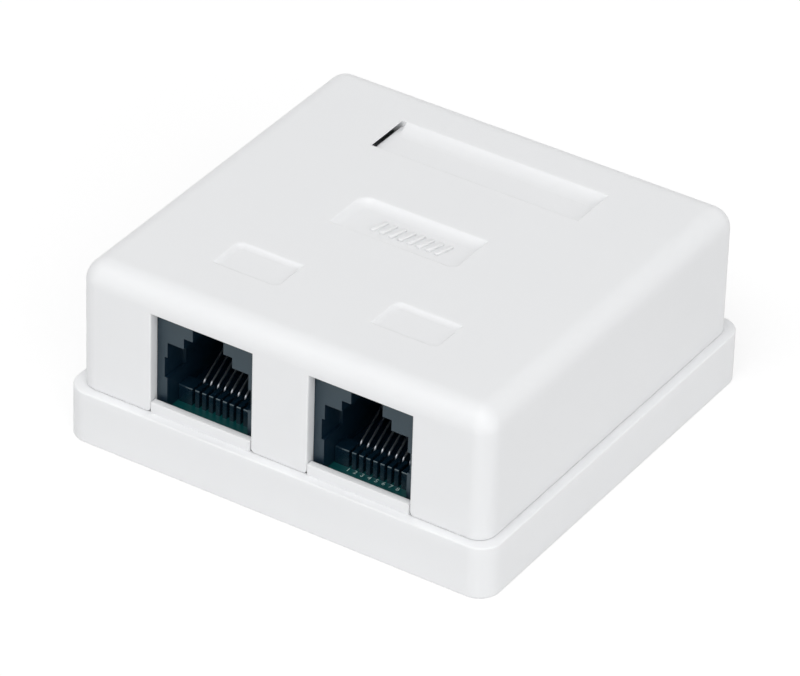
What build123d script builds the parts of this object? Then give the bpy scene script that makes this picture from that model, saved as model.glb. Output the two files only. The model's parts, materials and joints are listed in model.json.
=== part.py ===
# Two-port surface mount jack box: a base tray, a lift-off cover, and a circuit board
# that carries two 8-position modular jacks and two punch-down blocks.
# Millimetres. The origin is the middle of the underside, +Z is up and the ports face -Y.

import math
import os

from build123d import *

# Base tray
base_width = 62.0
base_depth = 60.4
rim_height = 7.45
base_corner = 3.0
floor_thick = 2.0
rim_round = 0.2
foot_round = 0.3

# How the cover meets the tray
ledge = 1.3
seat_width = 0.3
tongue_length = 2.7
tongue_gap = 0.15
snap_length = 8.0
snap_reach = 0.25
snap_radius = 0.5
snap_drop = 1.55
snap_spread = 30.0
snap_play = 0.1

# Cover
total_height = 25.6
cover_wall = 1.5
top_thick = 2.0
cover_corner = 2.5
top_round = 3.0
leg_round = 0.6

# Port openings in the cover, and the sills of the tray that close their feet
port_pitch = 23.0
port_width = 14.85
port_head_gap = 0.05
port_edge_round = 0.2
inner_room = 0.3
sill_gap = 0.12
sill_depth = 0.95
sill_rise = 1.24
sill_round = 0.12

# Recesses in the top of the cover
label_length = 30.4
label_width = 7.0
label_inset = 7.65
label_deep = 0.9
label_ramp = 2.3
slit_skin = 0.15
slit_reach = 2.3
slit_overlap = 0.01
slit_shelf = 0.7
badge_length = 18.2
badge_width = 7.35
badge_x = -0.5
badge_y = 0.0
badge_deep = 0.8
badge_ramp = 1.5
badge_corner = 1.0
icon_length = 9.3
icon_width = 5.6
icon_inset = 12.2
icon_deep = 0.4
icon_ramp = 0.85
icon_corner = 0.9
ramp_turn = 0.3
recess_round = 0.3

# Breakout panel in the back wall of the cover
breakout_width = 14.0
breakout_height = 9.0
breakout_groove = 0.8
breakout_web = 0.5

# Circuit board and the posts it stands on
board_side_gap = 1.2
board_depth = 39.2
board_thick = 1.6
board_corner = 1.0
board_inset = 0.15
post_height = 4.15
post_radius = 2.5
post_side_inset = 3.5
post_front_inset = 4.2
post_back_inset = 2.8
centre_post_inset = 12.2
locator_radius = 1.0
locator_rise = 0.5
locator_chamfer = 0.25
hole_clearance = 0.12

# Board screws
screw_radius = 1.05
screw_length = 5.4
screw_head_radius = 2.1
screw_head_height = 1.4
screw_head_round = 0.7
screw_tip = 0.5
screw_cross = 2.1
screw_slot = 0.6
screw_slot_deep = 0.7
pilot_gap = 0.03

# Wall fixing and cable entry in the floor
wall_hole_radius = 2.0
wall_hole_spread = 40.0
wall_hole_inset = 8.6
wall_sink_radius = 4.0
wall_sink_deep = 0.8
window_width = 18.0
window_depth = 9.0
window_inset = 2.1
window_corner = 1.5
tie_bar_width = 9.0
tie_bar_depth = 3.0
tie_bar_height = 4.2
tie_tunnel_width = 5.0
tie_tunnel_height = 2.4
tie_bar_gap = 1.2

# Modular jack housing, heights above the board
jack_front_gap = 0.05
jack_width = 15.9
jack_depth = 18.0
plug_width = 11.9
plug_height = 5.15
plug_deep = 13.0
step_width = 7.1
step_rise = 1.5
latch_width = 4.5
latch_rise = 2.05
latch_deep = 9.0
jack_roof = 0.8
ear_width = 12.7
ear_height = 2.95
ear_deep = 4.0
leg_spacing = 11.9
leg_top = 4.5
jack_back_wall = 1.1
peg_radius = 1.1
peg_spread = 13.5
peg_setback = 9.0
peg_reach = 1.1
peg_chamfer = 0.3

# Contact carrier, heights above the board
contact_count = 8
contact_pitch = 1.02
carrier_setback = 2.25
carrier_play = 0.12
carrier_floor = 1.4
carrier_back_gap = 0.2
comb_height = 2.45
comb_depth = 2.2
comb_round = 0.18
slot_play = 0.05

# Contact wires
wire_radius = 0.17
wire_inset = 2.25
wire_run = 0.6
wire_knee = 2.45
wire_angle = 31.5
wire_spring = 8.1
wire_bend = 0.45
wire_top_bend = 0.6
tail_setback = 13.6
tail_row_step = 2.54
tail_reach = 1.3
tail_play = 0.2

# Punch-down blocks and their terminals, heights above the board
block_width = 17.0
block_row = 4.2
block_channel = 4.0
block_height = 12.0
block_base = 3.0
block_gap = 3.6
way_pitch = 3.9
way_slot = 1.3
way_deep = 6.0
gable_deep = 3.2
pocket_play = 0.1
terminal_width = 2.5
terminal_thick = 0.4
terminal_slot = 0.34
terminal_slot_deep = 4.6
terminal_mouth = 1.0
terminal_pin = 0.7
terminal_reach = 1.2

# How near two places count as the same when edges are picked
same = 0.01

# Levels and lines that follow from the sizes above
rim_wall = ledge + seat_width
cover_width = base_width - 2 * ledge
cover_depth = base_depth - 2 * ledge
cover_front = -cover_depth / 2
cover_ceiling = total_height - top_thick
board_bottom = floor_thick + post_height
board_top = board_bottom + board_thick
board_width = cover_width - 2 * cover_wall - 2 * board_side_gap
plug_top = leg_top + plug_height
step_top = plug_top + step_rise
latch_top = step_top + latch_rise
jack_height = latch_top + jack_roof
port_top = board_top + jack_height + port_head_gap
sill_top = board_top + sill_rise
jack_front = cover_front + cover_wall + jack_front_gap
board_front = jack_front + board_inset
board_back = board_front + board_depth
jack_back = jack_front + jack_depth
block_depth = 2 * block_row + block_channel
block_y = jack_back + block_gap + block_depth / 2
carrier_front = jack_front + carrier_setback
carrier_back = jack_back - jack_back_wall - carrier_back_gap
slot_width = 2 * (wire_radius + slot_play)
jack_x = (-port_pitch / 2, port_pitch / 2)
contact_x = [(i - (contact_count - 1) / 2) * contact_pitch for i in range(contact_count)]
snap_level = rim_height - snap_drop
front_post_y = board_front + post_front_inset
back_post_y = board_back - post_back_inset
centre_post_y = board_front + centre_post_inset
locator_y = jack_back + block_gap / 2
post_x = board_width / 2 - post_side_inset
tray_back = base_depth / 2 - rim_wall
window_y = tray_back - window_inset - window_depth / 2
wall_hole_y = tray_back - wall_hole_inset
label_y = cover_depth / 2 - label_inset - label_width / 2
icon_y = cover_front + icon_inset


def block(x0, x1, y0, y1, z0, z1):
    """A plain block between two corners."""
    size = Box(x1 - x0, y1 - y0, z1 - z0)
    return Pos((x0 + x1) / 2, (y0 + y1) / 2, (z0 + z1) / 2) * size


def slab(width, depth, corner, z0, z1):
    """A rounded rectangle round the Z axis, from one level up to another."""
    outline = RectangleRounded(width, depth, corner)
    return extrude(Pos(0, 0, z0) * outline, amount=z1 - z0)


def pin(x, y, radius, z0, z1):
    """An upright round pin or hole."""
    return Pos(x, y, (z0 + z1) / 2) * Cylinder(radius, z1 - z0)


def tail_y(index):
    """The contact tails stand in two staggered rows."""
    return jack_front + tail_setback + (index % 2) * tail_row_step


def way_places():
    """Middle of each wire way of a punch-down block, measured from the block's middle."""
    row_offset = (block_row + block_channel) / 2
    for side in (-1, 1):
        for step in range(contact_count // 2):
            yield (step - (contact_count // 2 - 1) / 2) * way_pitch, side * row_offset


def make_base():
    tray = slab(base_width, base_depth, base_corner, 0, rim_height)
    inner_corner = cover_corner - seat_width
    inner = slab(base_width - 2 * rim_wall, base_depth - 2 * rim_wall, inner_corner, floor_thick, rim_height)
    tray = tray - inner
    top_rim = tray.faces().sort_by(Axis.Z)[-1].outer_wire().edges()
    tray = fillet(top_rim, rim_round)
    foot = tray.faces().sort_by(Axis.Z)[0].outer_wire().edges()
    tray = fillet(foot, foot_round)
    for x in jack_x:
        tray = tray + make_sill(x)
    for x, y in post_places():
        tray = tray + pin(x, y, post_radius, floor_thick, board_bottom)
    for x in (-post_x, post_x):
        locator = pin(x, locator_y, locator_radius, board_bottom, board_top + locator_rise)
        tip = locator.faces().sort_by(Axis.Z)[-1].edges()
        tray = tray + chamfer(tip, locator_chamfer)
        pilot_foot = board_top - screw_length - pilot_gap
        tray = tray - pin(x, back_post_y, screw_radius + pilot_gap, pilot_foot, board_bottom)
    for x in (-wall_hole_spread / 2, wall_hole_spread / 2):
        tray = tray - pin(x, wall_hole_y, wall_hole_radius, 0, floor_thick)
        tray = tray - pin(x, wall_hole_y, wall_sink_radius, floor_thick - wall_sink_deep, floor_thick)
    window = slab(window_width, window_depth, window_corner, 0, floor_thick)
    tray = tray - Pos(0, window_y, 0) * window
    tray = tray + make_tie_bar()
    for side in (-1, 1):
        for y in (-snap_spread / 2, snap_spread / 2):
            tray = tray - snap_bead(side, y, snap_play)
    return tray


def make_sill(x):
    half = port_width / 2 - sill_gap
    back = cover_front + sill_depth
    sill = block(x - half, x + half, cover_front, back, floor_thick, sill_top)
    front_edge = sill.edges().filter_by(Axis.X).sort_by(Axis.Z)[-2:].sort_by(Axis.Y)[0]
    return fillet(front_edge, sill_round)


def make_tie_bar():
    """The bridge in front of the cable window that a cable tie passes under."""
    half = tie_bar_width / 2
    back = window_y - window_depth / 2 - tie_bar_gap
    top = floor_thick + tie_bar_height
    bar = block(-half, half, back - tie_bar_depth, back, floor_thick, top)
    tunnel = tie_tunnel_width / 2
    tunnel_top = floor_thick + tie_tunnel_height
    return bar - block(-tunnel, tunnel, back - tie_bar_depth, back, floor_thick, tunnel_top)


def post_places():
    places = [(0, centre_post_y)]
    for x in (-post_x, post_x):
        for y in (front_post_y, locator_y, back_post_y):
            places.append((x, y))
    return places


def snap_bead(side, y, play):
    """The bead on the cover's tongue, or the groove that takes it in the tray when it has play."""
    tongue_face = base_width / 2 - rim_wall - tongue_gap
    bead = Rot(90, 0, 0) * Cylinder(snap_radius + play, snap_length + 2 * play)
    return Pos(side * (tongue_face + snap_reach - snap_radius), y, snap_level) * bead


def make_cover():
    shell = slab(cover_width, cover_depth, cover_corner, rim_height, total_height)
    rim = shell.faces().sort_by(Axis.Z)[-1].edges()
    shell = fillet(rim, top_round)
    tongue_width = base_width - 2 * rim_wall - 2 * tongue_gap
    tongue_depth = base_depth - 2 * rim_wall - 2 * tongue_gap
    tongue_corner = cover_corner - seat_width - tongue_gap
    shell = shell + slab(tongue_width, tongue_depth, tongue_corner, rim_height - tongue_length, rim_height)
    for side in (-1, 1):
        for y in (-snap_spread / 2, snap_spread / 2):
            shell = shell + snap_bead(side, y, 0)
    inner_width = cover_width - 2 * cover_wall
    inner_depth = cover_depth - 2 * cover_wall
    inner_corner = cover_corner - cover_wall
    hollow = slab(inner_width, inner_depth, inner_corner, rim_height - tongue_length, cover_ceiling)
    shell = shell - hollow
    for x in jack_x:
        shell = shell - port_cut(x) - inner_room_cut(x)
    shell = round_legs(shell)
    shell = round_port_edges(shell)
    shell = shell - label_cut() - badge_cut()
    for x in jack_x:
        shell = shell - icon_cut(x)
    shell = round_recess_edges(shell)
    return shell - slit_cut() - breakout_cut()


def port_cut(x):
    """The port opening and the wider gap it leaves in the tongue."""
    half = port_width / 2
    foot = rim_height - tongue_length
    behind = cover_front + cover_wall
    opening = block(x - half, x + half, cover_front, behind, foot, port_top)
    widen = half + leg_round + sill_gap
    gap = block(x - widen, x + widen, cover_front, behind, foot, rim_height)
    return opening + gap


def inner_room_cut(x):
    """The room that the cover leaves round a jack and round the block behind it."""
    foot = rim_height - tongue_length
    half = jack_width / 2 + inner_room
    top = board_top + jack_height + inner_room
    round_jack = block(x - half, x + half, jack_front - jack_front_gap, jack_back + inner_room, foot, top)
    half = block_width / 2 + inner_room
    front = block_y - block_depth / 2 - inner_room
    back = block_y + block_depth / 2 + inner_room
    top = board_top + block_height + inner_room
    return round_jack + block(x - half, x + half, front, back, foot, top)


def round_port_edges(shell):
    """The front edges of the port openings are broken by a small round."""
    edges = []
    for x in jack_x:
        for edge in shell.edges():
            middle = edge.center()
            beside = abs(abs(middle.X - x) - port_width / 2) < same
            above = abs(middle.X - x) < same and abs(middle.Z - port_top) < same
            if abs(middle.Y - cover_front) < same and (beside or above):
                edges.append(edge)
    return fillet(edges, port_edge_round)


def round_legs(shell):
    """The bottom corners of the legs beside each port are rounded."""
    corners = []
    for x in jack_x:
        for side in (-1, 1):
            edge_x = x + side * port_width / 2
            for edge in shell.edges().filter_by(Axis.Y):
                middle = edge.center()
                if abs(middle.X - edge_x) < same and abs(middle.Z - rim_height) < same:
                    corners.append(edge)
    return fillet(corners, leg_round)


def ramp_radius(deep, ramp):
    """Radius of the hollow that leaves the floor level and reaches the top in the ramp's length."""
    return (ramp ** 2 + deep ** 2) / (2 * deep)


def label_cut():
    """The label recess: its long back wall is a hollow ramp, and its other walls are square."""
    radius = ramp_radius(label_deep, label_ramp)
    grown = radius - label_ramp
    floor = total_height - label_deep
    front = label_y - label_width / 2
    back = label_y + label_width / 2 + grown
    half = label_length / 2
    cutter = block(-half, half, front, back, floor, floor + 2 * radius)
    ramp_edge = cutter.edges().filter_by(Axis.X).sort_by(Axis.Z)[:2].sort_by(Axis.Y)[-1]
    return fillet(ramp_edge, radius)


def scooped_cut(length, width, corner, deep, ramp):
    """A recess with hollow ramps at its back and left walls, and square walls at its front and right."""
    radius = ramp_radius(deep, ramp)
    grown = radius - ramp
    cutter = block(-length / 2 - grown, length / 2, -width / 2, width / 2 + grown, 0, 2 * radius)
    front_right = cutter.edges().filter_by(Axis.Z).sort_by(Axis.X)[-2:].sort_by(Axis.Y)[0]
    cutter = fillet(front_right, corner)
    back_left = cutter.edges().filter_by(Axis.Z).sort_by(Axis.X)[:2].sort_by(Axis.Y)[-1]
    cutter = fillet(back_left, radius + ramp_turn)
    ramp_edges = []
    for edge in cutter.faces().sort_by(Axis.Z)[0].edges():
        middle = edge.center()
        square_wall = abs(middle.X - length / 2) < same or abs(middle.Y + width / 2) < same
        if not square_wall and (middle.X < 0 or middle.Y > 0):
            ramp_edges.append(edge)
    cutter = fillet(ramp_edges, radius)
    return Pos(0, 0, total_height - deep) * cutter


def round_recess_edges(shell):
    """A small round where the walls of each recess meet the top, but not above the slit."""
    edges = []
    for outline in shell.faces().sort_by(Axis.Z)[-1].inner_wires():
        for edge in outline.edges():
            if abs(edge.center().X + label_length / 2) > same:
                edges.append(edge)
    return fillet(edges, recess_round)


def slit_cut():
    """The open slit at the left end of the label recess, and the level strip of floor beside it."""
    end = -label_length / 2
    floor = total_height - label_deep
    lip = total_height - slit_skin
    outline = make_face(
        Polyline(
            (end, 0, lip),
            (end + slit_overlap, 0, floor),
            (end + slit_overlap, 0, cover_ceiling),
            (end - slit_reach, 0, cover_ceiling),
            close=True,
        )
    )
    cutter = extrude(outline, amount=label_width / 2, dir=(0, 1, 0), both=True)
    strip = block(end, end + slit_shelf, -label_width / 2, label_width / 2, floor, total_height)
    return Pos(0, label_y, 0) * (cutter + strip)


def badge_cut():
    scoop = scooped_cut(badge_length, badge_width, badge_corner, badge_deep, badge_ramp)
    return Pos(badge_x, badge_y, 0) * scoop


def icon_cut(x):
    scoop = scooped_cut(icon_length, icon_width, icon_corner, icon_deep, icon_ramp)
    return Pos(x, icon_y, 0) * scoop


def breakout_cut():
    """A groove inside the back wall that outlines the panel to break out for a surface cable."""
    inner_face = cover_depth / 2 - cover_wall
    web_face = cover_depth / 2 - breakout_web
    half = breakout_width / 2
    top = rim_height + breakout_height
    foot = rim_height - tongue_length
    outer = block(-half, half, inner_face, web_face, foot, top)
    kept = half - breakout_groove
    panel = block(-kept, kept, inner_face, web_face, rim_height, top - breakout_groove)
    tongue = block(-half, half, inner_face, cover_depth / 2, foot, rim_height)
    return outer - panel + tongue


def make_board():
    outline = RectangleRounded(board_width, board_depth, board_corner)
    board = extrude(Pos(0, (board_front + board_back) / 2, board_bottom) * outline, amount=board_thick)
    holes = []
    for x in (-post_x, post_x):
        holes.append((x, locator_y, locator_radius + hole_clearance))
        holes.append((x, back_post_y, screw_radius + hole_clearance))
    for jack in jack_x:
        for side in (-1, 1):
            peg_x = jack + side * peg_spread / 2
            holes.append((peg_x, jack_front + peg_setback, peg_radius + hole_clearance))
        for index, x in enumerate(contact_x):
            holes.append((jack + x, tail_y(index), wire_radius + tail_play))
        for x, y in way_places():
            holes.append((jack + x, block_y + y, terminal_pin / 2 + hole_clearance))
    for x, y, radius in holes:
        board = board - pin(x, y, radius, board_bottom, board_top)
    return board


def make_jack_housing(x):
    half = jack_width / 2
    housing = block(x - half, x + half, jack_front, jack_back, board_top, board_top + jack_height)
    cuts = [
        (plug_width, leg_top, plug_top, plug_deep),
        (step_width, plug_top, step_top, latch_deep),
        (latch_width, step_top, latch_top, latch_deep),
        (ear_width, leg_top, leg_top + ear_height, ear_deep),
        (leg_spacing, 0, leg_top, jack_depth - jack_back_wall),
    ]
    for width, low, high, deep in cuts:
        z0 = board_top + low
        z1 = board_top + high
        housing = housing - block(x - width / 2, x + width / 2, jack_front, jack_front + deep, z0, z1)
    peg_foot = board_bottom - peg_reach
    for side in (-1, 1):
        peg_x = x + side * peg_spread / 2
        peg = pin(peg_x, jack_front + peg_setback, peg_radius, peg_foot, board_top)
        tip = peg.faces().sort_by(Axis.Z)[0].edges()
        housing = housing + chamfer(tip, peg_chamfer)
    return housing


def make_contact_carrier(x):
    """The comb and floor of the port. The wires lie in grooves under it and rise at the back of its slots."""
    half = leg_spacing / 2 - carrier_play
    comb_back = carrier_front + comb_depth
    floor_top = board_top + carrier_floor
    comb_top = board_top + comb_height
    carrier = block(x - half, x + half, carrier_front, carrier_back, board_top, floor_top)
    carrier = carrier + block(x - half, x + half, carrier_front, comb_back, board_top, comb_top)
    rise_back = carrier_front + wire_inset + wire_radius + carrier_play
    groove_top = board_top + wire_run + wire_radius + carrier_play
    for index, offset in enumerate(contact_x):
        left = x + offset - slot_width / 2
        right = x + offset + slot_width / 2
        tail_back = tail_y(index) + wire_radius + carrier_play
        slot = block(left, right, carrier_front, rise_back, board_top, comb_top)
        groove = block(left, right, carrier_front, tail_back, board_top, groove_top)
        crest = block(left, right, carrier_front, comb_back, floor_top, comb_top)
        carrier = carrier - slot - groove - crest
    crests = []
    for edge in carrier.edges().filter_by(Axis.X):
        middle = edge.center()
        if abs(middle.Y - carrier_front) < same and abs(middle.Z - comb_top) < same:
            crests.append(edge)
    return fillet(crests, comb_round)


def make_contact(x, index):
    """One sprung wire: tail through the board, run under the carrier, rise in the comb, spring back up."""
    rise = carrier_front + wire_inset
    run_level = board_top + wire_run
    knee_level = board_top + wire_knee
    reach = math.radians(wire_angle)
    end_y = rise + wire_spring * math.cos(reach)
    end_z = knee_level + wire_spring * math.sin(reach)
    route = [
        (x, tail_y(index), board_bottom - tail_reach),
        (x, tail_y(index), run_level),
        (x, rise, run_level),
        (x, rise, knee_level),
        (x, end_y, end_z),
    ]
    path = FilletPolyline(*route, radius=[wire_bend, wire_bend, wire_top_bend])
    section = Plane(origin=path @ 0, z_dir=path % 0) * Circle(wire_radius)
    return sweep(section, path)


def make_punch_block(x):
    half = block_width / 2
    top = board_top + block_height
    body = block(x - half, x + half, block_y - block_depth / 2, block_y + block_depth / 2, board_top, top)
    channel = block_channel / 2
    body = body - block(x - half, x + half, block_y - channel, block_y + channel, board_top + block_base, top)
    for way_x, way_y in way_places():
        middle = x + way_x
        row = block_y + way_y
        slot = block(
            middle - way_slot / 2,
            middle + way_slot / 2,
            row - block_row / 2,
            row + block_row / 2,
            top - way_deep,
            top,
        )
        wide = terminal_width / 2 + pocket_play
        thin = terminal_thick / 2 + pocket_play
        pocket = block(middle - wide, middle + wide, row - thin, row + thin, board_top, top)
        mouth_half = way_pitch / 2
        gable = make_face(
            Polyline(
                (middle - mouth_half, 0, top),
                (middle, 0, top - gable_deep),
                (middle + mouth_half, 0, top),
                close=True,
            )
        )
        mouth = Pos(0, row, 0) * extrude(gable, amount=block_row / 2, dir=(0, 1, 0), both=True)
        body = body - slot - pocket - mouth
    return body


def make_terminal(x, y):
    """A slotted plate that bites through the wire's insulation, on a pin through the board."""
    foot = board_top
    top = board_top + block_height - gable_deep
    plate = block(
        x - terminal_width / 2,
        x + terminal_width / 2,
        y - terminal_thick / 2,
        y + terminal_thick / 2,
        foot,
        top,
    )
    slot = block(
        x - terminal_slot / 2,
        x + terminal_slot / 2,
        y - terminal_thick,
        y + terminal_thick,
        top - terminal_slot_deep,
        top,
    )
    mouth = make_face(
        Polyline(
            (x - terminal_mouth / 2, y, top),
            (x, y, top - terminal_mouth),
            (x + terminal_mouth / 2, y, top),
            close=True,
        )
    )
    mouth = extrude(mouth, amount=terminal_thick, dir=(0, 1, 0), both=True)
    leg = block(
        x - terminal_pin / 2,
        x + terminal_pin / 2,
        y - terminal_thick / 2,
        y + terminal_thick / 2,
        board_bottom - terminal_reach,
        foot,
    )
    return plate + leg - slot - mouth


def make_board_screws():
    """Pan head screws that hold the board on its two back posts, as one group."""
    screws = []
    for x in (-post_x, post_x):
        head_top = board_top + screw_head_height
        head = pin(x, back_post_y, screw_head_radius, board_top, head_top)
        head = fillet(head.faces().sort_by(Axis.Z)[-1].edges(), screw_head_round)
        shank = pin(x, back_post_y, screw_radius, board_top - screw_length, board_top)
        shank = chamfer(shank.faces().sort_by(Axis.Z)[0].edges(), screw_tip)
        screw = head + shank
        recess_middle = Pos(x, back_post_y, head_top - screw_slot_deep / 2)
        for turn in (0, 90):
            screw = screw - recess_middle * Rot(0, 0, turn) * Box(screw_cross, screw_slot, screw_slot_deep)
        screws.append(screw)
    return Compound(children=screws)


def main():
    parts = {"base": make_base(), "cover": make_cover(), "circuit_board": make_board()}
    for side, x in zip(("left", "right"), jack_x):
        parts["jack_housing_" + side] = make_jack_housing(x)
        parts["contact_carrier_" + side] = make_contact_carrier(x)
        parts["idc_block_" + side] = make_punch_block(x)
        for index, offset in enumerate(contact_x):
            parts[f"contact_{side}_{index + 1}"] = make_contact(x + offset, index)
        for index, (way_x, way_y) in enumerate(way_places()):
            parts[f"idc_terminal_{side}_{index + 1}"] = make_terminal(x + way_x, block_y + way_y)
    parts["board_screws"] = make_board_screws()
    os.makedirs("parts", exist_ok=True)
    for name, shape in parts.items():
        export_step(shape, f"parts/{name}.step")
        print(name, round(shape.volume, 2))


main()
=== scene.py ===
import json
import math

import bmesh
import bpy
from mathutils import Matrix, Vector


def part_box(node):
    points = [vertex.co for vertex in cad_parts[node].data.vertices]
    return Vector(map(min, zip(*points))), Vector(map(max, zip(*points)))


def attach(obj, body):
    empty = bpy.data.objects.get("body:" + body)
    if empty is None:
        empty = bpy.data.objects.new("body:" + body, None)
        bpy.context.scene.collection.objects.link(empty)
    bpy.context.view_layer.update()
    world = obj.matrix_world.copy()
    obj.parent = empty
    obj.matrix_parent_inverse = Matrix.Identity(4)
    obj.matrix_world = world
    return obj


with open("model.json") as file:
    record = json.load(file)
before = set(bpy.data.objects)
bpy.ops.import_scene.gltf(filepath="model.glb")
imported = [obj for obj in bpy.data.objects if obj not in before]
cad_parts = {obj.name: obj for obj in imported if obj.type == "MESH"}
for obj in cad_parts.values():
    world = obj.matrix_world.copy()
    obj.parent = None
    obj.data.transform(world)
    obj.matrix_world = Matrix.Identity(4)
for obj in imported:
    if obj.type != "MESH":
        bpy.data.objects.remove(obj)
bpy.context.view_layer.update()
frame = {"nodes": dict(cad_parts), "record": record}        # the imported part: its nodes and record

mm = 0.001
jackCount = 2
ways = 8                 # contacts in a jack, and terminals in a block
blockRows = 2
print("stage: frame loaded with", len(frame["nodes"]), "nodes")


# Small helpers for nodes and meshes

def addNode(tree, kind, inputs=None, **settings):
    node = tree.nodes.new(kind)
    for key, value in settings.items():
        setattr(node, key, value)
    for key, value in (inputs or {}).items():
        node.inputs[key].default_value = value
    return node


def newMaterial(name):
    material = bpy.data.materials.new(name)
    material.use_nodes = True
    tree = material.node_tree
    return material, tree, tree.nodes["Principled BSDF"]


def placedNoise(tree, scale, detail=2.0, stretch=(1, 1, 1)):
    # in object space, so that the pattern stays with the piece
    place = addNode(tree, "ShaderNodeTexCoord")
    mapping = addNode(tree, "ShaderNodeMapping")
    mapping.inputs["Scale"].default_value = stretch
    noise = addNode(tree, "ShaderNodeTexNoise", {"Scale": scale, "Detail": detail})
    tree.links.new(place.outputs["Object"], mapping.inputs["Vector"])
    tree.links.new(mapping.outputs["Vector"], noise.inputs["Vector"])
    return noise.outputs["Fac"]


mixFactor, mixFirst, mixSecond, mixResult = 0, 6, 7, 2     # a color Mix node's socket numbers


def blendColors(tree, factor, first, second):
    mix = addNode(tree, "ShaderNodeMix", data_type="RGBA")
    mix.inputs[mixFirst].default_value = (*first, 1)
    mix.inputs[mixSecond].default_value = (*second, 1)
    tree.links.new(factor, mix.inputs[mixFactor])
    return mix.outputs[mixResult]


def spreadBetween(tree, factor, low, high):
    spread = addNode(tree, "ShaderNodeMapRange", {"To Min": low, "To Max": high})
    tree.links.new(factor, spread.inputs["Value"])
    return spread.outputs["Result"]


def bumpFrom(tree, shader, height, strength, distance):
    bump = addNode(tree, "ShaderNodeBump", {"Strength": strength, "Distance": distance})
    tree.links.new(height, bump.inputs["Height"])
    tree.links.new(bump.outputs["Normal"], shader.inputs["Normal"])


# Materials

def mouldedPlastic(name, look):
    material, tree, shader = newMaterial(name)
    mottle = placedNoise(tree, look["mottleScale"], detail=3.0)
    color = blendColors(tree, mottle, look["darkTone"], look["lightTone"])
    tree.links.new(color, shader.inputs["Base Color"])
    sheen = placedNoise(tree, look["sheenScale"])
    rough = spreadBetween(tree, sheen, look["roughLow"], look["roughHigh"])
    tree.links.new(rough, shader.inputs["Roughness"])
    grain = placedNoise(tree, look["grainScale"], detail=1.0)
    bumpFrom(tree, shader, grain, look["grainStrength"], look["grainHeight"])
    shader.inputs["IOR"].default_value = look["ior"]
    shader.inputs["Specular Tint"].default_value = (*look["glossTint"], 1)
    shader.inputs["Subsurface Weight"].default_value = look["milky"]
    shader.inputs["Subsurface Scale"].default_value = look["milkyDepth"]
    shader.inputs["Subsurface Radius"].default_value = (1, 1, 1)
    return material


def platedMetal(name, look):
    material, tree, shader = newMaterial(name)
    shader.inputs["Metallic"].default_value = 1.0
    cloud = placedNoise(tree, look["cloudScale"])
    color = blendColors(tree, cloud, look["darkTone"], look["lightTone"])
    tree.links.new(color, shader.inputs["Base Color"])
    drawn = placedNoise(tree, look["drawnScale"], stretch=look["drawnStretch"])
    rough = spreadBetween(tree, drawn, look["roughLow"], look["roughHigh"])
    tree.links.new(rough, shader.inputs["Roughness"])
    bumpFrom(tree, shader, drawn, look["drawnStrength"], look["drawnHeight"])
    return material


def coatedBoard(name, look):
    material, tree, shader = newMaterial(name)
    place = addNode(tree, "ShaderNodeTexCoord")
    axes = addNode(tree, "ShaderNodeSeparateXYZ")
    tree.links.new(place.outputs["Normal"], axes.inputs["Vector"])
    # only the faces that lie flat are coated, and the sawn edges show the core
    upright = addNode(tree, "ShaderNodeMath", operation="ABSOLUTE")
    tree.links.new(axes.outputs["Z"], upright.inputs[0])
    coated = addNode(tree, "ShaderNodeMath", {1: look["faceLimit"]}, operation="GREATER_THAN")
    tree.links.new(upright.outputs[0], coated.inputs[0])
    cloud = placedNoise(tree, look["cloudScale"])
    mask = blendColors(tree, cloud, look["maskDark"], look["maskLight"])
    whole = addNode(tree, "ShaderNodeMix", data_type="RGBA")
    whole.inputs[mixFirst].default_value = (*look["coreTone"], 1)
    tree.links.new(mask, whole.inputs[mixSecond])
    tree.links.new(coated.outputs[0], whole.inputs[mixFactor])
    tree.links.new(whole.outputs[mixResult], shader.inputs["Base Color"])
    weave = []
    for direction in ("X", "Y"):
        bands = addNode(tree, "ShaderNodeTexWave", {"Scale": look["weaveScale"]}, bands_direction=direction)
        tree.links.new(place.outputs["Object"], bands.inputs["Vector"])
        weave.append(bands.outputs["Fac"])
    cloth = addNode(tree, "ShaderNodeMath", operation="ADD")
    tree.links.new(weave[0], cloth.inputs[0])
    tree.links.new(weave[1], cloth.inputs[1])
    bumpFrom(tree, shader, cloth.outputs[0], look["weaveStrength"], look["weaveHeight"])
    shader.inputs["Roughness"].default_value = look["roughness"]
    shader.inputs["Coat Weight"].default_value = look["coat"]
    return material


caseLook = {
    "darkTone": (0.862, 0.870, 0.882),
    "lightTone": (0.878, 0.886, 0.897),
    "mottleScale": 70.0,
    "sheenScale": 160.0,
    "roughLow": 0.36,
    "roughHigh": 0.44,
    "grainScale": 5200.0,
    "grainStrength": 0.05,
    "grainHeight": 0.00001,
    "ior": 1.46,
    "glossTint": (1.0, 1.0, 1.0),
    "milky": 0.6,
    "milkyDepth": 0.8 * mm,
}
jackLook = {
    "darkTone": (0.000, 0.008, 0.019),
    "lightTone": (0.001, 0.012, 0.027),
    "mottleScale": 300.0,
    "sheenScale": 500.0,
    "roughLow": 0.40,
    "roughHigh": 0.52,
    "grainScale": 6000.0,
    "grainStrength": 0.12,
    "grainHeight": 0.00001,
    "ior": 1.70,
    "glossTint": (0.80, 0.97, 1.0),
    "milky": 0.0,
    "milkyDepth": 0.0,
}
carrierLook = dict(
    jackLook,
    darkTone=(0.002, 0.012, 0.023),
    lightTone=(0.005, 0.018, 0.033),
    roughLow=0.17,
    roughHigh=0.23,
    ior=1.85,
)
blockLook = dict(
    caseLook,
    darkTone=(0.62, 0.62, 0.58),
    lightTone=(0.68, 0.68, 0.64),
    mottleScale=240.0,
)
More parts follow.
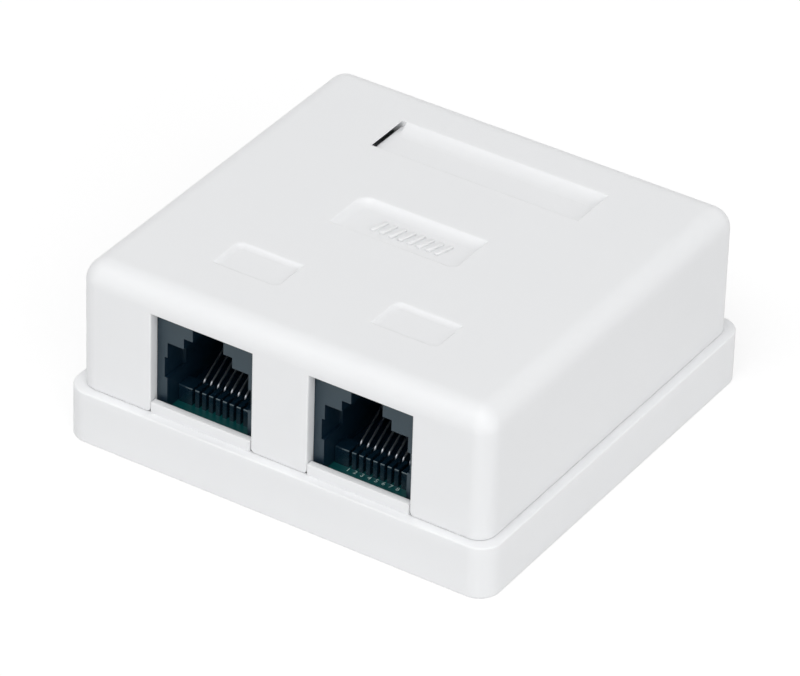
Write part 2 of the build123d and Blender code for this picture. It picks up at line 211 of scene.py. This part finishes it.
wireLook = {
    "darkTone": (0.38, 0.40, 0.43),
    "lightTone": (0.46, 0.48, 0.51),
    "cloudScale": 900.0,
    "drawnScale": 700.0,
    "drawnStretch": (6, 1, 1),
    "roughLow": 0.26,
    "roughHigh": 0.32,
    "drawnStrength": 0.03,
    "drawnHeight": 0.00001,
}
terminalLook = dict(
    wireLook,
    darkTone=(0.58, 0.50, 0.40),
    lightTone=(0.74, 0.68, 0.60),
    drawnStretch=(8, 8, 1),
)
screwLook = dict(
    wireLook,
    darkTone=(0.50, 0.51, 0.53),
    lightTone=(0.66, 0.67, 0.69),
    drawnStretch=(1, 1, 5),
)
solderLook = dict(
    wireLook,
    darkTone=(0.58, 0.58, 0.60),
    lightTone=(0.74, 0.74, 0.75),
    roughLow=0.16,
    roughHigh=0.3,
)
boardLook = {
    "maskDark": (0.000, 0.050, 0.052),
    "maskLight": (0.001, 0.066, 0.068),
    "coreTone": (0.30, 0.30, 0.17),
    "faceLimit": 0.5,
    "cloudScale": 220.0,
    "weaveScale": 620.0,
    "weaveStrength": 0.12,
    "weaveHeight": 0.00002,
    "roughness": 0.34,
    "coat": 0.15,
}
inkLook = dict(
    caseLook,
    darkTone=(0.62, 0.80, 0.78),
    lightTone=(0.72, 0.88, 0.86),
    roughLow=0.55,
    roughHigh=0.65,
)

finishes = {
    "case_white": mouldedPlastic("satinWhiteCase", caseLook),
    "jack_plastic": mouldedPlastic("slateJack", jackLook),
    "carrier_plastic": mouldedPlastic("blackCarrier", carrierLook),
    "block_plastic": mouldedPlastic("paleBlock", blockLook),
    "board_laminate": coatedBoard("greenBoard", boardLook),
    "contact_wire": platedMetal("brightContact", wireLook),
    "terminal_bronze": platedMetal("tinnedTerminal", terminalLook),
    "screw_steel": platedMetal("zincScrew", screwLook),
}
solderFinish = platedMetal("solder", solderLook)
inkFinish = mouldedPlastic("boardInk", inkLook)

for part in frame["record"]["subparts"]:
    solid = frame["nodes"][part["node"]]
    for place in solid.material_slots:
        place.material = finishes[part["material_slot"]]


# Geometry Nodes: one tree that repeats a small mesh over the board's units, ways and rows

def newSocket(tree, label, kind, value=None):
    socket = tree.interface.new_socket(label, in_out="INPUT", socket_type=kind)
    if value is not None:
        socket.default_value = value


def mathNode(tree, operation, first, second):
    node = addNode(tree, "ShaderNodeMath", operation=operation)
    for socket, value in zip(node.inputs, (first, second)):
        if isinstance(value, (int, float)):
            socket.default_value = value
        else:
            tree.links.new(value, socket)
    return node.outputs[0]


def makeRepeatTree(finish):
    tree = bpy.data.node_groups.new("repeatOver" + finish.name, "GeometryNodeTree")
    tree.interface.new_socket("Geometry", in_out="INPUT", socket_type="NodeSocketGeometry")
    tree.interface.new_socket("Geometry", in_out="OUTPUT", socket_type="NodeSocketGeometry")
    newSocket(tree, "Across", "NodeSocketInt", ways)
    newSocket(tree, "Across Pitch", "NodeSocketFloat", 1.0)
    newSocket(tree, "Stagger", "NodeSocketFloat", 0.0)
    newSocket(tree, "Rows", "NodeSocketInt", 1)
    newSocket(tree, "Row Pitch", "NodeSocketFloat", 0.0)
    newSocket(tree, "Units", "NodeSocketInt", 1)
    newSocket(tree, "Unit Pitch", "NodeSocketFloat", 0.0)
    newSocket(tree, "Start", "NodeSocketVector", (0, 0, 0))
    start = addNode(tree, "NodeGroupInput")
    given = start.outputs
    perUnit = mathNode(tree, "MULTIPLY", given["Across"], given["Rows"])
    total = mathNode(tree, "MULTIPLY", perUnit, given["Units"])
    line = addNode(tree, "GeometryNodeMeshLine", mode="OFFSET")
    line.inputs["Offset"].default_value = (0, 0, 0)
    tree.links.new(total, line.inputs["Count"])
    index = addNode(tree, "GeometryNodeInputIndex").outputs[0]
    unit = mathNode(tree, "FLOOR", mathNode(tree, "DIVIDE", index, perUnit), 0)
    inUnit = mathNode(tree, "MODULO", index, perUnit)
    row = mathNode(tree, "FLOOR", mathNode(tree, "DIVIDE", inUnit, given["Across"]), 0)
    step = mathNode(tree, "MODULO", inUnit, given["Across"])
    odd = mathNode(tree, "MODULO", step, 2)      # every second one is staggered
    x = mathNode(tree, "MULTIPLY", step, given["Across Pitch"])
    x = mathNode(tree, "ADD", x, mathNode(tree, "MULTIPLY", unit, given["Unit Pitch"]))
    y = mathNode(tree, "MULTIPLY", odd, given["Stagger"])
    y = mathNode(tree, "ADD", y, mathNode(tree, "MULTIPLY", row, given["Row Pitch"]))
    offset = addNode(tree, "ShaderNodeCombineXYZ")
    tree.links.new(x, offset.inputs["X"])
    tree.links.new(y, offset.inputs["Y"])
    place = addNode(tree, "ShaderNodeVectorMath", operation="ADD")
    tree.links.new(offset.outputs[0], place.inputs[0])
    tree.links.new(given["Start"], place.inputs[1])
    points = addNode(tree, "GeometryNodeSetPosition")
    tree.links.new(line.outputs["Mesh"], points.inputs["Geometry"])
    tree.links.new(place.outputs[0], points.inputs["Position"])
    copies = addNode(tree, "GeometryNodeInstanceOnPoints")
    tree.links.new(points.outputs["Geometry"], copies.inputs["Points"])
    tree.links.new(given["Geometry"], copies.inputs["Instance"])
    whole = addNode(tree, "GeometryNodeRealizeInstances")
    tree.links.new(copies.outputs["Instances"], whole.inputs["Geometry"])
    dressed = addNode(tree, "GeometryNodeSetMaterial")
    dressed.inputs["Material"].default_value = finish
    tree.links.new(whole.outputs["Geometry"], dressed.inputs["Geometry"])
    end = addNode(tree, "NodeGroupOutput")
    tree.links.new(dressed.outputs["Geometry"], end.inputs["Geometry"])
    return tree


def bakeTree(piece, tree, values):
    modifier = piece.modifiers.new(tree.name, "NODES")
    modifier.node_group = tree
    for item in tree.interface.items_tree:
        if item.item_type == "SOCKET" and item.in_out == "INPUT" and item.name in values:
            modifier[item.identifier] = values[item.name]
    graph = bpy.context.evaluated_depsgraph_get()
    mesh = bpy.data.meshes.new_from_object(piece.evaluated_get(graph))
    piece.modifiers.remove(modifier)
    piece.data = mesh
    return piece


def newPiece(name, bm, smooth=False):
    mesh = bpy.data.meshes.new(name)
    bm.to_mesh(mesh)
    bm.free()
    for face in mesh.polygons:
        face.use_smooth = smooth
    piece = bpy.data.objects.new(name, mesh)
    bpy.context.scene.collection.objects.link(piece)
    return piece


def revolved(profile, sides):
    bm = bmesh.new()
    rings = []
    for radius, height in profile:
        if radius == 0:
            rings.append([bm.verts.new((0, 0, height))])
            continue
        turn = 2 * math.pi / sides
        ring = []
        for i in range(sides):
            x = radius * math.cos(i * turn)
            y = radius * math.sin(i * turn)
            ring.append(bm.verts.new((x, y, height)))
        rings.append(ring)
    for lower, upper in zip(rings, rings[1:]):
        for i in range(sides):
            j = (i + 1) % sides
            corners = [lower[i % len(lower)], lower[j % len(lower)]]
            corners += [upper[j % len(upper)], upper[i % len(upper)]]
            bm.faces.new(list(dict.fromkeys(corners)))       # at a tip two corners are one
    bmesh.ops.recalc_face_normals(bm, faces=bm.faces)
    return bm


def roundedBar(size, edge, lean=0.0):
    bm = bmesh.new()
    bmesh.ops.create_cube(bm, size=1.0)
    bmesh.ops.scale(bm, vec=size, verts=bm.verts)
    bmesh.ops.bevel(bm, geom=list(bm.edges), offset=edge, segments=2, profile=0.5, affect="EDGES")
    for vert in bm.verts:
        vert.co.x += vert.co.y * lean
    bmesh.ops.recalc_face_normals(bm, faces=bm.faces)
    return bm


# Sizes taken from the frame

boardLow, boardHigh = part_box("circuit_board")
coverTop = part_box("cover")[1].z
jackLow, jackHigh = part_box("jack_housing_left")
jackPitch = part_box("jack_housing_right")[0].x - jackLow.x
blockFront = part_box("idc_block_left")[0].y
wireLow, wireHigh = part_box("contact_left_1")
lastWireLow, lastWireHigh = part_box("contact_left_8")
wireX = (wireLow.x + wireHigh.x) / 2
wirePitch = ((lastWireLow.x + lastWireHigh.x) / 2 - wireX) / (ways - 1)
terminalLow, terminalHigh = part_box("idc_terminal_left_1")
terminalX = (terminalLow.x + terminalHigh.x) / 2
terminalY = (terminalLow.y + terminalHigh.y) / 2
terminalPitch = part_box("idc_terminal_left_2")[0].x - terminalLow.x
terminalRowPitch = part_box("idc_terminal_left_5")[0].y - terminalLow.y


# Raised strokes in the middle recess of the cover

badgeBars = {
    "count": 8,
    "pitch": 1.35 * mm,
    "size": (0.62 * mm, 2.5 * mm, 0.5 * mm),
    "edge": 0.14 * mm,
    "lean": 0.28,
    "middle": (0.2 * mm, -0.35 * mm),
    "recessDepth": 0.8 * mm,
    "rise": 0.3 * mm,
}


def makeBadgeBars(spec):
    bar = roundedBar(spec["size"], spec["edge"], spec["lean"])
    piece = newPiece("badgeBars", bar, smooth=True)
    floorLevel = coverTop - spec["recessDepth"]
    startX = spec["middle"][0] - spec["pitch"] * (spec["count"] - 1) / 2
    middleZ = floorLevel + spec["rise"] - spec["size"][2] / 2
    bakeTree(piece, makeRepeatTree(finishes["case_white"]), {
        "Across": spec["count"],
        "Across Pitch": spec["pitch"],
        "Start": (startX, spec["middle"][1], middleZ),
    })
    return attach(piece, "cover")


makeBadgeBars(badgeBars)
print("stage: badge bars")


# Solder under the board, round the contact tails and the terminal pins

solderJoints = {
    "sides": 14,
    "padRadius": 0.78 * mm,
    "rise": 0.95 * mm,
    "tipRadius": 0.27 * mm,
    "tailSetback": 13.6 * mm,
    "tailStagger": 2.54 * mm,
    "rings": 5,
    "flare": 2.2,            # how fast the cone widens toward the pad
    "tipReach": 1.05,        # the rounded tip, as a share of the rise
    "sunk": 0.02 * mm,
}


def solderProfile(spec):
    profile = [(0, spec["sunk"]), (spec["padRadius"], spec["sunk"])]
    for step in range(spec["rings"]):
        share = step / (spec["rings"] - 1)
        spread = (spec["padRadius"] - spec["tipRadius"]) * (1 - share) ** spec["flare"]
        radius = spec["tipRadius"] + spread
        profile.append((radius, -spec["rise"] * share))
    profile.append((0, -spec["rise"] * spec["tipReach"]))
    return profile


def makeSolderJoints(spec):
    tails = newPiece("tailSolder", revolved(solderProfile(spec), spec["sides"]), smooth=True)
    bakeTree(tails, makeRepeatTree(solderFinish), {
        "Across": ways,
        "Across Pitch": wirePitch,
        "Stagger": spec["tailStagger"],
        "Units": jackCount,
        "Unit Pitch": jackPitch,
        "Start": (wireX, jackLow.y + spec["tailSetback"], boardLow.z),
    })
    pins = newPiece("pinSolder", revolved(solderProfile(spec), spec["sides"]), smooth=True)
    bakeTree(pins, makeRepeatTree(solderFinish), {
        "Across": ways // blockRows,
        "Across Pitch": terminalPitch,
        "Rows": blockRows,
        "Row Pitch": terminalRowPitch,
        "Units": jackCount,
        "Unit Pitch": jackPitch,
        "Start": (terminalX, terminalY, boardLow.z),
    })
    for piece in (tails, pins):
        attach(piece, "tray")


makeSolderJoints(solderJoints)
print("stage: solder joints")


# Copper tracks under the coating, in the strip between the jacks and the blocks

boardTracks = {
    "width": 0.34 * mm,
    "height": 0.05 * mm,
    "edge": 0.015 * mm,
    "overlap": 0.4 * mm,
}


def makeBoardTracks(spec):
    length = blockFront - jackHigh.y + 2 * spec["overlap"]
    track = roundedBar((spec["width"], length, spec["height"]), spec["edge"])
    piece = newPiece("boardTracks", track)
    bakeTree(piece, makeRepeatTree(finishes["board_laminate"]), {
        "Across": ways,
        "Across Pitch": wirePitch,
        "Units": jackCount,
        "Unit Pitch": jackPitch,
        "Start": (wireX, (blockFront + jackHigh.y) / 2, boardHigh.z),
    })
    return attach(piece, "tray")


makeBoardTracks(boardTracks)
print("stage: board tracks")


# Plain way numbers printed on the board in front of the right jack

boardNumbers = {
    "size": 0.95 * mm,
    "thickness": 0.02 * mm,
    "frontGap": 1.55 * mm,
    "curveSteps": 3,
    "weld": 0.0001 * mm,
}


def makeBoardNumbers(spec):
    whole = bmesh.new()
    for way in range(ways):
        curve = bpy.data.curves.new("wayNumber", "FONT")
        curve.body = str(way + 1)
        curve.size = spec["size"]
        curve.extrude = spec["thickness"] / 2
        curve.align_x = "CENTER"
        curve.resolution_u = spec["curveSteps"]
        digit = bpy.data.objects.new("wayNumber", curve)
        bpy.context.scene.collection.objects.link(digit)
        graph = bpy.context.evaluated_depsgraph_get()
        mesh = bpy.data.meshes.new_from_object(digit.evaluated_get(graph))
        x = wireX + jackPitch + way * wirePitch
        y = jackLow.y + spec["frontGap"]
        mesh.transform(Matrix.Translation((x, y, boardHigh.z + spec["thickness"] / 2)))
        whole.from_mesh(mesh)
        bpy.data.objects.remove(digit)
    bmesh.ops.remove_doubles(whole, verts=whole.verts, dist=spec["weld"])
    bmesh.ops.recalc_face_normals(whole, faces=whole.faces)
    piece = newPiece("boardNumbers", whole)
    piece.data.materials.clear()
    piece.data.materials.append(inkFinish)
    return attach(piece, "tray")


makeBoardNumbers(boardNumbers)
print("stage: board numbers")


# Studio: camera, lamps, world and floor

cameraView = {
    "position": (324.717 * mm, -522.757 * mm, 421.073 * mm),
    "azimuth": 31.9427,
    "elevation": 33.7493,
    "roll": 1.8722,
    "lens": 267.85,
    "sensor": 36.0,
    "nearest": 0.01,
    "farthest": 50,
}


def directionAt(azimuth, elevation):
    # unit vector from the object, the azimuth counted from the front toward the right
    turn = math.radians(azimuth)
    lift = math.radians(elevation)
    flat = math.cos(lift)
    return Vector((math.sin(turn) * flat, -math.cos(turn) * flat, math.sin(lift)))


def makeCamera(spec):
    roll = math.radians(spec["roll"])
    back = directionAt(spec["azimuth"], spec["elevation"])
    right = Vector((0, 0, 1)).cross(back).normalized()
    up = back.cross(right)
    rolledRight = right * math.cos(roll) + up * math.sin(roll)
    rolledUp = up * math.cos(roll) - right * math.sin(roll)
    data = bpy.data.cameras.new("photoCamera")
    data.lens = spec["lens"]
    data.sensor_width = spec["sensor"]
    data.sensor_fit = "HORIZONTAL"
    data.clip_start = spec["nearest"]
    data.clip_end = spec["farthest"]
    camera = bpy.data.objects.new("photoCamera", data)
    aim = Matrix((rolledRight, rolledUp, back)).transposed().to_4x4()
    camera.matrix_world = Matrix.Translation(spec["position"]) @ aim
    bpy.context.scene.collection.objects.link(camera)
    bpy.context.scene.camera = camera


# the fill isn't reflected, because its sheen would wash out the top from behind
lamps = {
    "key": {"azimuth": 10, "elevation": 58, "distance": 2.2, "size": 1.4, "power": 15.2, "reflected": True},
    "fill": {"azimuth": 57, "elevation": 30, "distance": 2.4, "size": 1.8, "power": 17.2, "reflected": False},
    "edge": {"azimuth": -40, "elevation": 46, "distance": 1.5, "size": 0.5, "power": 1.2, "reflected": True},
}


def makeLamps(specs):
    for name, spec in specs.items():
        toward = directionAt(spec["azimuth"], spec["elevation"])
        data = bpy.data.lights.new(name, "AREA")
        data.size = spec["size"]
        data.energy = spec["power"]
        lamp = bpy.data.objects.new(name, data)
        lamp.visible_glossy = spec["reflected"]
        lamp.location = toward * spec["distance"]
        lamp.rotation_euler = toward.to_track_quat("Z", "Y").to_euler()
        bpy.context.scene.collection.objects.link(lamp)


studio = {
    "ambient": 0.48,
    "seenBackground": 1.0,
    "floorSize": 4.0,
    "floorDrop": 0.02 * mm,
    "floorTone": (0.82, 0.82, 0.82),
    "glowShare": 0.45,
    "glowStrength": 1.39,
}


def seenDirectly(tree):
    # 1 where the ray comes from the camera, a reflection or glass, and 0 for plain lighting
    path = addNode(tree, "ShaderNodeLightPath")
    direct = mathNode(tree, "MAXIMUM", path.outputs["Is Camera Ray"], path.outputs["Is Glossy Ray"])
    return mathNode(tree, "MAXIMUM", direct, path.outputs["Is Transmission Ray"])


def makeWorld(spec):
    world = bpy.data.worlds.new("paleStudio")
    bpy.context.scene.world = world
    world.use_nodes = True
    tree = world.node_tree
    background = tree.nodes["Background"]
    background.inputs["Color"].default_value = (1, 1, 1, 1)
    strength = spreadBetween(tree, seenDirectly(tree), spec["ambient"], spec["seenBackground"])
    tree.links.new(strength, background.inputs["Strength"])


def makeFloor(spec):
    half = spec["floorSize"] / 2
    bm = bmesh.new()
    corners = ((-half, -half), (half, -half), (half, half), (-half, half))
    bm.faces.new([bm.verts.new((x, y, -spec["floorDrop"])) for x, y in corners])
    floor = newPiece("floor", bm)
    material, tree, shader = newMaterial("paleFloor")
    tree.nodes.remove(shader)
    paint = addNode(tree, "ShaderNodeBsdfDiffuse", {"Color": (*spec["floorTone"], 1)})
    glow = addNode(tree, "ShaderNodeEmission", {"Color": (1, 1, 1, 1), "Strength": spec["glowStrength"]})
    mix = addNode(tree, "ShaderNodeMixShader")
    share = mathNode(tree, "MULTIPLY", seenDirectly(tree), spec["glowShare"])
    tree.links.new(share, mix.inputs[0])
    tree.links.new(paint.outputs[0], mix.inputs[1])
    tree.links.new(glow.outputs[0], mix.inputs[2])
    tree.links.new(mix.outputs[0], tree.nodes["Material Output"].inputs["Surface"])
    floor.data.materials.append(material)


makeCamera(cameraView)
makeLamps(lamps)
makeWorld(studio)
makeFloor(studio)
bpy.context.scene.view_settings.view_transform = "Standard"
print("stage: studio")
